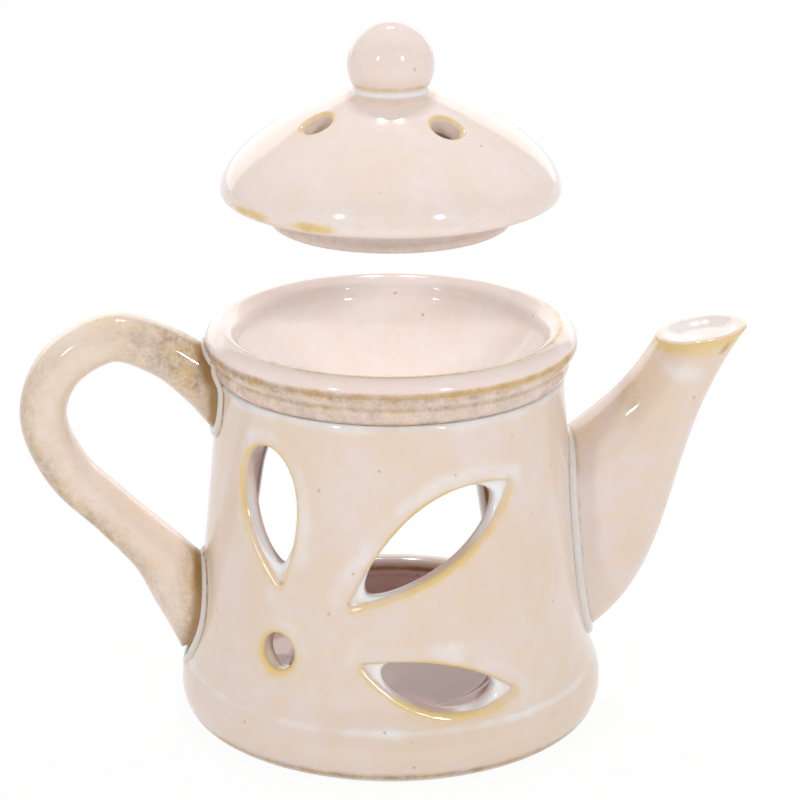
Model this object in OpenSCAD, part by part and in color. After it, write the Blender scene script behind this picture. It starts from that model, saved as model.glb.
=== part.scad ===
// Teapot-shaped oil burner: a pierced chamber for a tealight, an oil bowl luted on top of it,
// a handle, a blind spout and a lift-off lid with vents. Millimetres, +Z up, spout towards +X,
// origin at the centre of the flat underside. Turns are degrees round Z from the front, -Y,
// towards the spout.

/* [Foot and floor] */
// How far the foot stands out from the wall
foot_out = 3.3; // [2.4:0.1:6]
// Height of the foot, where the wall stands on it
foot_h = 12; // [11:0.5:16]
// How far the flat underside ends inside the wall's face
underside_in = 2; // [0:0.1:10]
// How far the crisp edge low on the foot stands out from the wall
foot_edge_out = 1.8; // [0.4:0.1:2.2]
// Height of that edge
foot_edge_h = 2.2; // [1:0.1:3.5]
// How far the foot's belly lies below the middle of its side
belly_low = 1; // [0:0.1:2]
// Height of the chamber floor
floor_h = 8; // [5:0.5:9]
// Rounding between the floor and the wall inside
floor_fillet = 2; // [0.5:0.1:2]
// Diameter of the sunk seat for a tealight
seat_d = 44; // [40:0.5:64]
// Depth of that seat
seat_depth = 1.2; // [0.4:0.1:2]

/* [Wall] */
// Outside diameter of the wall on the foot
wall_bottom_d = 82.4; // [78:0.2:90]
// Outside diameter of the wall under the collar
wall_top_d = 70.4; // [66:0.2:74]
// Height of the wall
wall_h = 62.2; // [60:0.2:80]
// Thickness of the wall
wall_t = 3.8; // [3:0.1:5.5]

/* [Pierced front] */
// Turn of the round hole
hole_turn = -40.5; // [-50:0.5:-35]
// Height of the round hole's centre above the foot
hole_rise = 13.6; // [10:0.1:18]
// Diameter of the round hole
hole_d = 7.5; // [5:0.1:10]
// Turn of the teardrop's middle
drop_turn = -46.3; // [-52:0.1:-40]
// Distance of the teardrop's middle below the collar joint
drop_below = 21.2; // [18:0.1:24]
// Length of the teardrop from its point to its round end
drop_len = 27.6; // [20:0.1:30]
// Greatest width of the teardrop
drop_w = 14.4; // [8:0.1:18]
// Lean of the teardrop towards the handle
drop_lean = 14.5; // [0:0.1:18]
// Turn of the tall leaf's middle
leaf_turn = 7.7; // [2:0.1:12]
// Distance of the tall leaf's middle below the collar joint
leaf_below = 25.3; // [22:0.1:28]
// Length of the tall leaf
leaf_len = 41; // [30:0.5:44]
// Rise of the tall leaf's upper edge over the line between its tips
leaf_upper = 8.4; // [4:0.1:9]
// Sag of the tall leaf's lower edge under that line
leaf_lower = 4.6; // [3:0.1:7]
// Slope of the tall leaf
leaf_slope = 33.2; // [20:0.1:40]
// Share by which the tall leaf is fuller towards its upper tip
leaf_skew = 0.27; // [0:0.01:0.4]
// Turn of the low leaf's middle
low_leaf_turn = 8.5; // [4:0.1:12]
// Height of the low leaf's middle above the foot
low_leaf_rise = 9.4; // [8.6:0.1:12]
// Length of the low leaf
low_leaf_len = 32.5; // [24:0.5:36]
// Rise of the low leaf's upper edge
low_leaf_upper = 3.7; // [2:0.1:5]
// Sag of the low leaf's lower edge
low_leaf_lower = 5.8; // [2:0.1:6.4]
// Slope of the low leaf
low_leaf_slope = -14.2; // [-18:0.1:-8]
// Width of the blunt tips that the knife leaves on the leaves and the teardrop
tip_blunt = 0.9; // [0.4:0.1:2]

/* [Tealight doorway at the back] */
// Turn of the doorway
door_turn = 184; // [175:1:195]
// Height of the sill above the foot
door_sill = 4; // [2:0.5:6]
// Width of the doorway at the sill
door_w = 54.5; // [48:0.5:56]
// Distance of the doorway's crown below the collar joint
door_below = 10.7; // [9:0.1:16]
// Radius of the doorway's round head
door_head_r = 23.5; // [18:0.5:24]

/* [Oil bowl] */
// How far the ring on which the rolled lip is centred lies inside the wall's face
lip_in = 0.5; // [0:0.1:1]
// Thickness of the rolled lip
lip_d = 6.6; // [5.6:0.1:7.4]
// Height of the lip's centre above the joint with the wall
lip_rise = 6.6; // [6:0.1:7.2]
// How far the ring on which the band under the lip is centred lies inside the wall's face
band_in = 1.3; // [0.9:0.1:1.8]
// Thickness of that band
band_d = 5.2; // [4.6:0.1:5.6]
// Height of the band's centre above the joint
band_rise = 2.4; // [2:0.1:2.8]
// Depth of the dish below the lip's centre
dish_depth = 19; // [14:0.5:23]
// Thickness of the dish
dish_t = 4; // [3:0.1:5]

/* [Handle] */
// Height of the lower root's middle above the foot
handle_low = 12; // [11:0.5:16]
// Distance of the upper root's middle below the collar joint
handle_drop = 5; // [3:0.5:9]
// How far the middle of the bar stands out from the wall
handle_out = 35; // [28:0.5:45]
// Thickness of the bar, across the loop
handle_bar = 9.6; // [7:0.1:12]
// Width of the bar
handle_w = 11; // [8:0.1:14]
// Height of the upper root
handle_top_root = 18; // [15:0.5:22]
// Height of the lower root
handle_low_root = 22; // [16:0.5:23]
// How much the bar widens into its roots
handle_flare = 3; // [0:0.1:5]

/* [Spout] */
// Height of the lower end of the root above the foot
spout_low = 3.4; // [2:0.1:10]
// Distance of the root's upper end below the collar joint
spout_drop = 15.6; // [12:0.2:22]
// Distance of the mouth's centre from the wall under the collar
spout_out = 29.2; // [24:0.2:40]
// Height of the mouth's centre above the collar joint
spout_rise = 6; // [0:0.1:10]
// Length of the mouth, outside
mouth_len = 18.8; // [15:0.2:22]
// Width of the mouth, outside
mouth_w = 16.6; // [15:0.2:22]
// Slope of the mouth, up towards its outer end
mouth_slope = 9; // [0:0.5:15]
// Least width of the spout
spout_w = 17; // [15:0.2:21]
// Width of the root
spout_root_w = 23; // [19:0.5:27]
// Thickness of the mouth's lip
mouth_lip = 2.4; // [1.6:0.1:3]
// Depth of the dish pressed into the mouth
mouth_dip = 1.8; // [0.5:0.1:3]

/* [Lid] */
// How far the lid's edge ends inside the ring of the lip
lid_in = 0.6; // [0.2:0.1:1.4]
// Rounding of the lid's edge
lid_edge_r = 1.3; // [0.8:0.1:1.8]
// Height of the dome at the knob's foot above the middle of the edge
dome_h = 20.2; // [18:0.1:26]
// Slope of the dome at the knob's foot
dome_slope = 18; // [12:0.5:24]
// How far the dome holds that slope
dome_reach = 13.7; // [10:0.1:16]
// How far the dome's side stands upright above the edge
shoulder_h = 7.7; // [5:0.1:10]
// Thickness of the lid
lid_t = 3.8; // [3:0.1:4.5]
// How far the locating flange stands in from the lid's edge
flange_in = 10; // [8:0.1:13]
// Drop from the edge to the root of the flange
flange_drop = 4.4; // [3:0.1:6]
// Height of the flange
flange_h = 2.5; // [2:0.1:5]
// Number of vents
vents = 4; // [2:1:6]
// Diameter of a vent
vent_d = 6.2; // [4:0.1:7]
// Diameter of the ring of vents
vent_ring_d = 36; // [30:0.5:40]
// Turn of the first vent
vent_turn = -59; // [-90:1:0]
// Height to which the lid is lifted off its seat
lid_lift = 27; // [15:0.1:60]
// Clearance between the seated lid and the lip
lid_gap = 0.3; // [0.2:0.05:0.5]

/* [Knob] */
// Diameter of the knob's ball
knob_d = 17.3; // [15:0.1:20]
// Diameter of the knob's foot on the dome
knob_foot_d = 14.2; // [10:0.1:14.6]

/* [Hidden] */
$fn = 96;
// Facets of the dish's large spheres
dish_fn = 160;
// Facets of small round holes and edges
small_fn = 48;
// How far a cut runs past what it cuts
cut_past = 2;

wall_bottom_r = wall_bottom_d / 2;
wall_top_r = wall_top_d / 2;
joint_z = foot_h + wall_h;
chamber_r = wall_bottom_r - wall_t;
foot_r = wall_bottom_r + foot_out;
foot_edge_r = wall_bottom_r + foot_edge_out;
underside_r = wall_bottom_r - underside_in;
seat_r = seat_d / 2;

lip_r = lip_d / 2;
lip_ring_r = wall_top_r - lip_in;
lip_z = joint_z + lip_rise;
band_r = band_d / 2;
band_ring_r = wall_top_r - band_in;
band_z = joint_z + band_rise;
// The dish's inner sphere ends a little inside the lip, so that the two flow together
dish_lap = 0.5;
dish_rim_r = lip_ring_r - lip_r + dish_lap;
dish_in_r = (dish_rim_r * dish_rim_r + dish_depth * dish_depth) / (2 * dish_depth);
dish_out_r = dish_in_r + dish_t;
dish_z = lip_z - dish_depth + dish_in_r;

lid_r = lip_ring_r - lid_in;
lid_edge_ring = lid_r - lid_edge_r;
seat_touch = lip_r + lid_edge_r + lid_gap;
seat_offset = lip_ring_r - lid_edge_ring;
lid_z = lip_z + sqrt(seat_touch * seat_touch - seat_offset * seat_offset) + lid_lift;
flange_r = lid_r - flange_in;
flange_root_z = lid_z - flange_drop;
flange_low_z = flange_root_z - flange_h;
// The flange laps up into the dome, so that the two are one solid
flange_lap = 1;
knob_r = knob_d / 2;
knob_foot_r = knob_foot_d / 2;
knob_seat_z = lid_z + dome_h;
// The dome's section, from the lid's edge up to the knob's foot
dome = [
    [lid_r, lid_z], [lid_r, lid_z + shoulder_h],
    [knob_foot_r, knob_seat_z] + dome_reach * [cos(dome_slope), -sin(dome_slope)],
    [knob_foot_r, knob_seat_z]
];

cream = [0.93, 0.86, 0.79];
pale_cream = [0.95, 0.90, 0.84];
straw = [0.86, 0.78, 0.64];

// Curves
function wall_r(z) = wall_bottom_r + (wall_top_r - wall_bottom_r) * (z - foot_h) / wall_h;
function mix(a, b, f) = a + (b - a) * f;
function arc(c, r, from, to, n) =
    [for (i = [0:n]) let (a = mix(from, to, i / n)) c + r * [cos(a), sin(a)]];
function bezier(p, t) = len(p) == 1 ? p[0]
    : bezier([for (i = [0:len(p) - 2]) mix(p[i], p[i + 1], t)], t);
function spline(p, t) =
    let (
        last = len(p) - 1,
        i = min(floor(t), last - 1),
        f = t - i,
        a = p[max(i - 1, 0)], b = p[i], c = p[i + 1], d = p[min(i + 2, last)]
    )
    b + f / 2 * (c - a + f * (2 * a - 5 * b + 4 * c - d + f * (3 * (b - c) + d - a)));
function squarish(a, n) = sign(a) * pow(abs(a), 2 / n);

// A closed skin over rings of points: capped at both ends, or joined from the last ring to the first
module loft(rings, closed = false) {
    n = len(rings[0]);
    last = len(rings) - 1;
    function id(k, i) = (k % len(rings)) * n + i % n;
    sides = [
        for (k = [0:closed ? last : last - 1], i = [0:n - 1])
            each [[id(k, i), id(k + 1, i), id(k + 1, i + 1)], [id(k, i), id(k + 1, i + 1), id(k, i + 1)]]
    ];
    caps = closed ? [] : [
        for (i = [1:n - 2])
            each [[id(0, 0), id(0, i), id(0, i + 1)], [id(last, 0), id(last, i + 1), id(last, i)]]
    ];
    polyhedron([for (ring = rings) each ring], concat(sides, caps));
}

// Oval ring whose long axis runs from low to high in the XZ plane, half_w to each side of it.
// A power of 2 is an ellipse, and a higher one is squarer.
function oval(low, high, half_w, power, n) =
    let (mid = (low + high) / 2, half = (high - low) / 2)
    [for (i = [0:n - 1])
        let (a = 360 * i / n, p = mid + half * squarish(cos(a), power))
        [p.x, half_w * squarish(sin(a), power), p.y]];

// Outline of a leaf as rungs between its edges, along u from tip to tip
function leaf_rungs(length, upper, lower, skew, n) =
    [for (i = [0:n])
        let (s = 2 * i / n - 1, u = s * length / 2, open = (1 - s * s) * (1 + skew * s))
        [[u, max(upper * open, tip_blunt / 2)], [u, -max(lower * open, tip_blunt / 2)]]];

// Outline of a teardrop as rungs between its sides, along v from the point to the round end.
// Its half width follows sin(a) sin(a / 2), whose greatest value is widest.
function drop_rungs(length, width, n) =
    let (widest = 4 / (3 * sqrt(3)))
    [for (i = [0:n])
        let (
            a = mix(0, 180, i / n),
            v = -cos(a) * length / 2,
            u = max(width / 2 / widest * sin(a) * sin(a / 2), tip_blunt / 2)
        )
        [[-u, v], [u, v]]];

function turned(p, a) = [p.x * cos(a) - p.y * sin(a), p.x * sin(a) + p.y * cos(a)];

// A point of an outline wrapped on the wall at a turn and height, out from the wall's face
function wrapped(p, turn, z, out) =
    let (a = turn + p.x / wall_r(z) * 180 / PI, r = wall_r(z + p.y) + out)
    [r * sin(a), -r * cos(a), z + p.y];

// Solid that cuts an outline of rungs through the wall, square to its face
module pierce(rungs, turn, z, lean) {
    inner = -wall_t - cut_past;
    outer = cut_past;
    loft([for (rung = rungs)
        let (a = turned(rung[0], lean), b = turned(rung[1], lean))
        [wrapped(a, turn, z, outer), wrapped(b, turn, z, outer),
         wrapped(b, turn, z, inner), wrapped(a, turn, z, inner)]]);
}

// Foot of the burner with its floor, as turned on the wheel
module foot_profile() {
    side_steps = 12;
    fillet_steps = 6;
    // The control point that puts the middle of the side's curve at the foot's radius
    belly = [2 * foot_r - (foot_edge_r + wall_bottom_r) / 2, (foot_edge_h + foot_h) / 2 - belly_low];
    side = [[foot_edge_r, foot_edge_h], belly, [wall_bottom_r, foot_h]];
    polygon(concat(
        [[0, 0], [underside_r, 0]],
        [for (i = [0:side_steps]) bezier(side, i / side_steps)],
        [[chamber_r, foot_h]],
        arc([chamber_r - floor_fillet, floor_h + floor_fillet], floor_fillet, 0, -90, fillet_steps),
        [[seat_r, floor_h], [seat_r - seat_depth, floor_h - seat_depth], [0, floor_h - seat_depth]]
    ));
}

module base() {
    color(cream) rotate_extrude() foot_profile();
}

// Doorway's outline: straight sides that lean in from the sill to meet a round head
module door_outline() {
    head_steps = 32;
    half_w = door_w / 2;
    head_z = wall_h - door_sill - door_below - door_head_r;
    lean = atan2(head_z, -half_w) - asin(door_head_r / norm([half_w, head_z]));
    polygon(concat(
        [[-half_w, 0], [half_w, 0]],
        arc([0, head_z], door_head_r, lean - 90, 270 - lean, head_steps)
    ));
}

module chamber_wall() {
    steps = 24;
    through = foot_r + cut_past;
    color(cream) difference() {
        rotate_extrude() polygon([
            [chamber_r, foot_h], [wall_bottom_r, foot_h],
            [wall_top_r, joint_z], [wall_top_r - wall_t, joint_z]
        ]);
        translate([0, 0, dish_z]) sphere(dish_out_r, $fn = dish_fn);
        rotate([0, 0, door_turn]) translate([0, 0, foot_h + door_sill]) rotate([90, 0, 0])
            linear_extrude(through) door_outline();
        rotate([0, 0, hole_turn]) translate([0, 0, foot_h + hole_rise]) rotate([90, 0, 0])
            cylinder(h = through, d = hole_d, $fn = small_fn);
        pierce(drop_rungs(drop_len, drop_w, steps), drop_turn, joint_z - drop_below, drop_lean);
        pierce(leaf_rungs(leaf_len, leaf_upper, leaf_lower, leaf_skew, steps),
            leaf_turn, joint_z - leaf_below, leaf_slope);
        pierce(leaf_rungs(low_leaf_len, low_leaf_upper, low_leaf_lower, 0, steps),
            low_leaf_turn, foot_h + low_leaf_rise, low_leaf_slope);
    }
}

// Rolled lip and the band under it, down to the joint
module collar_rings() {
    intersection() {
        union() {
            translate([lip_ring_r, lip_z]) circle(lip_r);
            translate([band_ring_r, band_z]) circle(band_r);
        }
        translate([0, joint_z]) square([lip_ring_r + lip_d, lip_rise + lip_d]);
    }
}

module oil_bowl() {
    color(pale_cream) rotate_extrude() {
        collar_rings();
        difference() {
            intersection() {
                translate([0, dish_z]) circle(dish_out_r, $fn = dish_fn);
                square([dish_out_r, lip_z]);
            }
            translate([0, dish_z]) circle(dish_in_r, $fn = dish_fn);
        }
    }
}

// All that a handle or a spout is luted to, as a solid
module luting_body() {
    rotate_extrude() {
        foot_profile();
        collar_rings();
        polygon([[0, 0], [underside_r, 0], [wall_bottom_r, foot_h], [wall_top_r, joint_z],
            [band_ring_r, band_z], [lip_ring_r, lip_z], [0, lip_z]]);
    }
}

// A bar bent into an ear. Its course is [out from the wall, height between the roots, share of a
// root's height], from the upper root over the top and down to the lower root.
module handle() {
    low_z = foot_h + handle_low;
    high_z = joint_z - handle_drop;
    course = [
        [-0.14, 0.98, 0.8], [0.12, 1.12, 0.22], [0.34, 1.23, 0.05], [0.64, 1.3, 0],
        [0.92, 1.17, 0], [1, 0.94, 0], [0.84, 0.68, 0],
        [0.56, 0.47, 0], [0.29, 0.27, 0.06], [0.10, 0.10, 0.5], [-0.10, -0.04, 1]
    ];
    last = len(course) - 1;
    steps = 4;
    sides = 16;
    near = 0.05;
    power = 2.4;
    function middle(t) =
        let (p = spline(course, t), z = mix(low_z, high_z, p.y))
        [-wall_r(z) - handle_out * p.x, z];
    function ring(t) =
        let (
            a = middle(max(t - near, 0)),
            b = middle(min(t + near, last)),
            along = (b - a) / norm(b - a),
            across = [along.y, -along.x],
            root = max(spline(course, t)[2], 0),
            tall = mix(handle_bar, t < last / 2 ? handle_top_root : handle_low_root, root),
            half_w = handle_w / 2 + handle_flare * root,
            p = middle(t)
        )
        oval(p - across * tall / 2, p + across * tall / 2, half_w, power, sides);
    color(straw) difference() {
        loft([for (i = [0:last * steps]) ring(i / steps)]);
        luting_body();
    }
}

// A solid spout between two edges that curve up from the wall to the mouth, which is dished
module spout() {
    steps = 20;
    dish_steps = 4;
    sides = 24;
    power = 2.2;
    // How deep the ends of the edges lie in the body before they are trimmed to it
    sunk = 2;
    low_z = foot_h + spout_low;
    high_z = joint_z - spout_drop;
    half_mouth = mouth_len / 2 * [cos(mouth_slope), sin(mouth_slope)];
    mouth = [wall_top_r + spout_out, joint_z + spout_rise];
    // A curve whose two inner control points lie at shares p and q of the way, in X and in Z
    function edge(from, to, p, q) =
        let (way = to - from)
        [from, from + [way.x * p.x, way.y * p.y], from + [way.x * q.x, way.y * q.y], to];
    under = edge([wall_r(low_z) - sunk, low_z - sunk], mouth + half_mouth, [0.69, 0.2], [0.45, 0.6]);
    over = edge([wall_r(high_z) - sunk, high_z - sunk], mouth - half_mouth, [0.46, 0.37], [0.76, 0.57]);
    function half_w(t) =
        mix(spout_w, mouth_w, t * t * t) / 2 + (spout_root_w - spout_w) / 2 * pow(1 - t, 3);
    function ring(t, inset) =
        let (a = bezier(under, t), b = bezier(over, t), in = inset * (b - a) / norm(b - a))
        oval(b - in, a + in, half_w(t) - inset, power, sides);
    // A ring on the mouth, set in from its edge and raised square to it
    function mouth_ring(inset, rise) =
        [for (p = ring(1, inset)) p + rise * [-sin(mouth_slope), 0, cos(mouth_slope)]];
    // Share of the mouth's half width by which the floor of the dish is set in
    floor_in = 0.7;
    outside = [for (i = [0:steps]) ring(i / steps, 0)];
    dish = [for (i = [0:dish_steps])
        let (s = i / dish_steps)
        mouth_ring(mix(mouth_lip, mouth_w / 2 * floor_in, s), -mouth_dip * sin(90 * s))];
    color(cream) difference() {
        loft(concat(outside, [mouth_ring(mouth_lip / 2, mouth_lip / 4)], dish));
        luting_body();
    }
}

// The dome's section set in by a depth square to its face, from the edge up to the knob's foot
function dome_line(inset) =
    let (steps = 24, ways = [for (i = [0:len(dome) - 2]) dome[i + 1] - dome[i]])
    [for (i = [0:steps])
        let (t = i / steps, way = bezier(ways, t), along = way / norm(way))
        bezier(dome, t) + inset * [-along.y, along.x]];

// Section of the lid's dome, edge and flange
module lid_profile() {
    edge_steps = 8;
    inside_r = flange_r - lid_t;
    low_z = flange_low_z - cut_past;
    outer = dome_line(0);
    inner = dome_line(lid_t);
    difference() {
        union() {
            polygon(concat(
                [[0, knob_seat_z], [0, flange_root_z], [flange_r, flange_root_z]],
                arc([lid_edge_ring, lid_z], lid_edge_r, -90, 0, edge_steps),
                [for (i = [1:len(outer) - 1]) outer[i]]
            ));
            translate([inside_r, flange_low_z]) square([lid_t, flange_h + flange_lap]);
        }
        intersection() {
            polygon(concat([[0, inner[len(inner) - 1].y], [0, low_z], [inner[0].x, low_z]], inner));
            polygon([[0, low_z], [inside_r, low_z], [inside_r, flange_root_z + lid_t],
                [lid_edge_ring, lid_z - lid_edge_r + lid_t], [lid_edge_ring, knob_seat_z], [0, knob_seat_z]]);
        }
    }
}

module lid() {
    // How far to each side of a vent the dome's slope is taken
    near = 1;
    vent_r = vent_ring_d / 2;
    outer = dome_line(0);
    vent_lean = atan2(lookup(vent_r - near, outer) - lookup(vent_r + near, outer), 2 * near);
    color(cream) difference() {
        rotate_extrude() lid_profile();
        for (i = [0:vents - 1])
            rotate([0, 0, vent_turn + 360 * i / vents]) translate([0, -vent_r, lookup(vent_r, outer)])
                rotate([vent_lean, 0, 0]) translate([0, 0, -lid_t - cut_past])
                    cylinder(h = lid_t + 2 * cut_past, d = vent_d, $fn = small_fn);
    }
}

module lid_knob() {
    ball_z = knob_seat_z + sqrt(knob_r * knob_r - knob_foot_r * knob_foot_r);
    color(pale_cream) rotate_extrude() intersection() {
        translate([0, ball_z]) circle(knob_r);
        translate([0, knob_seat_z]) square([knob_d, 2 * knob_d]);
    }
}

base();
chamber_wall();
oil_bowl();
handle();
spout();
lid();
lid_knob();
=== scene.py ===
"""Looks of a teapot-shaped oil burner: glazed pottery with a pierced wall and a lid lifted off."""
import math

import bmesh
import bpy
import numpy as np
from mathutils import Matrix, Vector
from mathutils.geometry import delaunay_2d_cdt


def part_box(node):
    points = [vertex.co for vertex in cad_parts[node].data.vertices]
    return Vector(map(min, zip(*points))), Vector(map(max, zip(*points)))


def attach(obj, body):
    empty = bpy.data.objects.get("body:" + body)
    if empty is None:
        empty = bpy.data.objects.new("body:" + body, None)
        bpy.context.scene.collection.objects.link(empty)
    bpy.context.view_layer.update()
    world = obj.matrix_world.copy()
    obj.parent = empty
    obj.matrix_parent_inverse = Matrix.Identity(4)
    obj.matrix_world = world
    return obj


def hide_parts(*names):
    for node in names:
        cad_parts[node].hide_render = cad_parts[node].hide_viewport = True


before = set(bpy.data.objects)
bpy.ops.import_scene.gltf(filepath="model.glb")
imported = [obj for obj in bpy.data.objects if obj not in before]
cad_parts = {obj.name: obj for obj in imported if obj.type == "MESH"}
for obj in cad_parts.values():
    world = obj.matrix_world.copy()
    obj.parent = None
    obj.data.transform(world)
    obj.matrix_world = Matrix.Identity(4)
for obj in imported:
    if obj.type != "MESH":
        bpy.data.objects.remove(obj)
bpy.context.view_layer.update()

# Shapes are worked out in millimetres and become metres when a piece is finished
MM = 0.001


def reach(node):
    """A node's lowest and highest corner, in millimetres."""
    low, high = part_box(node)
    return Vector(low) / MM, Vector(high) / MM


# Foot and floor
FOOT_H = reach("base")[1].z
UNDERSIDE_R = 39.2
FOOT_EDGE_R = 43.0
FOOT_EDGE_H = 2.2
BELLY_LOW = 1.0
FLOOR_H = 8.0
FLOOR_FILLET = 2.0
SEAT_R = 22.0
SEAT_DEPTH = 1.2
# White glaze that has pooled where the foot meets the wall: its height, reach and strength
FOOT_POOL_Z = FOOT_H + 0.4
FOOT_POOL_REACH = 1.8
FOOT_POOL_MILK = 0.52
# Grey line over the foot's low edge
FOOT_LINE_Z = FOOT_EDGE_H + 1.0

# Chamber wall, with the cove of glaze at its foot and under the collar. The foot's skin runs up the cove
# as a tab that stands proud of it and dips under it at the top
WALL_LOW_R = reach("chamber_wall")[1].x
WALL_HIGH_R = 35.2
JOINT_Z = reach("chamber_wall")[1].z
WALL_T = 3.8
COVE_OUT = 1.7
COVE_H = 5.0
TAB_H = 2.4
TAB_PROUD = 0.08
TAB_STEPS = 13
FLARE_OUT = 0.5
FLARE_H = 1.0
# Radius at which the wall is unrolled, and the turn at which it is slit for that
UNROLL_R = 38.2
SLIT_TURN = 115.0

# Oil bowl with its rolled lip and band
LIP_R = 3.3
LIP_RING_R = reach("oil_bowl")[1].x - LIP_R
LIP_Z = reach("oil_bowl")[1].z - LIP_R
BAND_R = 2.6
BAND_RING_R = 33.9
BAND_Z = JOINT_Z + 2.4
# Degrees on their rounds at which the band starts underneath and the lip ends in the dish
BAND_START = -75.0
LIP_END = 194.0
DISH_DEPTH = 19.0
DISH_T = 4.0
DISH_UNDER_LIP = 0.5
DISH_RIM_R = LIP_RING_R - LIP_R + DISH_UNDER_LIP
DISH_IN_R = (DISH_RIM_R ** 2 + DISH_DEPTH ** 2) / (2 * DISH_DEPTH)
DISH_Z = LIP_Z - DISH_DEPTH + DISH_IN_R

# Domed lid with its flange and vents, and the ball knob
LID_EDGE_R = 1.3
LID_R = reach("lid")[1].x
LID_OVERHANG = 10.0
FLANGE_H = 2.5
FLANGE_DROP = 4.4
FLANGE_R = LID_R - LID_OVERHANG
LID_T = 3.8
LID_Z = reach("lid")[0].z + FLANGE_H + FLANGE_DROP
DOME_SLOPE = math.radians(18)
DOME_REACH = 13.7
SHOULDER_H = 7.7
# Height over the lid's edge at which the pierced cap gives way to the turned rim
CAP_H = 3.4
VENTS = 4
VENT_R = 3.1
VENT_RIM_R = 0.9
VENT_RING_R = 18.0
VENT_TURN = -59.0
KNOB_R = 8.65
KNOB_FOOT_R = 7.1
KNOB_Z = reach("lid_knob")[1].z - KNOB_R
KNOB_SEAT_Z = reach("lid_knob")[0].z
KNOB_SEAT_R = 9.2
KNOB_SOFT = 0.2

# Points round a turned piece, how finely a section is followed, and how far glaze softens its corners
TURNS = 192
SECTION_STEP = 0.6
GLAZE_SOFT = 0.28

# What the glaze does at a point of a piece, each from 0 to 1; in a few places the ash mark carries
# painted shade too.
# A piece's paint works these strengths out from distances in millimetres, from degrees or from shares of
# its length
MARKS = ("ochre", "milk", "ash", "rust", "shade", "bare")


def fade(value, start, end):
    """A smooth step from 0 at start to 1 at end."""
    share = np.clip((np.asarray(value, float) - start) / (end - start), 0, 1)
    return share * share * (3 - 2 * share)


def hump(value, middle, reach_each_way):
    """A smooth hump of height 1 round a middle."""
    return 1 - fade(np.abs(np.asarray(value, float) - middle), 0, reach_each_way)


def mix(first, second, share):
    """What lies between two values by a share."""
    return first + (second - first) * share


# Sections and lines

def arc(centre, radius, start, end, steps=32):
    """Points of an arc from start to end, in degrees."""
    angles = np.radians(np.linspace(start, end, steps + 1))
    return np.column_stack((centre[0] + radius * np.cos(angles), centre[1] + radius * np.sin(angles)))


def meeting(first, first_r, second, second_r):
    """Where two circles meet, on the right of the way from the first to the second."""
    way = np.subtract(second, first)
    gap = np.hypot(*way)
    way = way / gap
    along = (first_r ** 2 - second_r ** 2 + gap ** 2) / (2 * gap)
    off = math.sqrt(first_r ** 2 - along ** 2)
    return first + along * way + off * np.array((way[1], -way[0]))


def bezier(points, t):
    """A point on a Bezier curve of any degree."""
    points = np.asarray(points, float)
    while len(points) > 1:
        points = mix(points[:-1], points[1:], t)
    return points[0]


def bow(points, steps=32):
    """Points along a Bezier curve."""
    return np.array([bezier(points, i / steps) for i in range(steps + 1)])


def spline(knots, t):
    """A point of a smooth curve through knots, where t counts knots."""
    last = len(knots) - 1
    i = min(int(t), last - 1)
    f = t - i
    a, b, c, d = knots[max(i - 1, 0)], knots[i], knots[i + 1], knots[min(i + 2, last)]
    return b + f / 2 * (c - a + f * (2 * a - 5 * b + 4 * c - d + f * (3 * (b - c) + d - a)))


def run_lengths(line):
    """How far along a line each of its points lies."""
    return np.concatenate(([0], np.cumsum(np.linalg.norm(np.diff(line, axis=0), axis=1))))


def spread(line, step):
    """The same line with points an even step apart."""
    lengths = run_lengths(line)
    places = np.linspace(0, lengths[-1], max(2, round(lengths[-1] / step) + 1))
    return np.column_stack([np.interp(places, lengths, column) for column in line.T])


def soften(line, width):
    """A section with its corners rounded off by glaze, ends kept."""
    step = width / 4
    line = spread(line, step)
    steps = 12
    mirror = np.array([-1, 1])

    def past(end, inner):
        on_axis = abs(end[0]) < step
        return inner * mirror if on_axis else 2 * end - inner

    padded = np.vstack((past(line[0], line[steps:0:-1]), line, past(line[-1], line[-2:-steps - 2:-1])))
    weights = np.exp(-0.5 * (np.arange(-steps, steps + 1) * step / width) ** 2)
    weights /= weights.sum()
    smooth = np.column_stack([np.convolve(column, weights, "valid") for column in padded.T])
    return spread(smooth, SECTION_STEP)


def round_axis(r, z, turn):
    """A point at a radius, a height and a turn from the front towards the spout, in radians."""
    return np.column_stack(np.broadcast_arrays(r * np.sin(turn), -r * np.cos(turn), z))


# Skins

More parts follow.
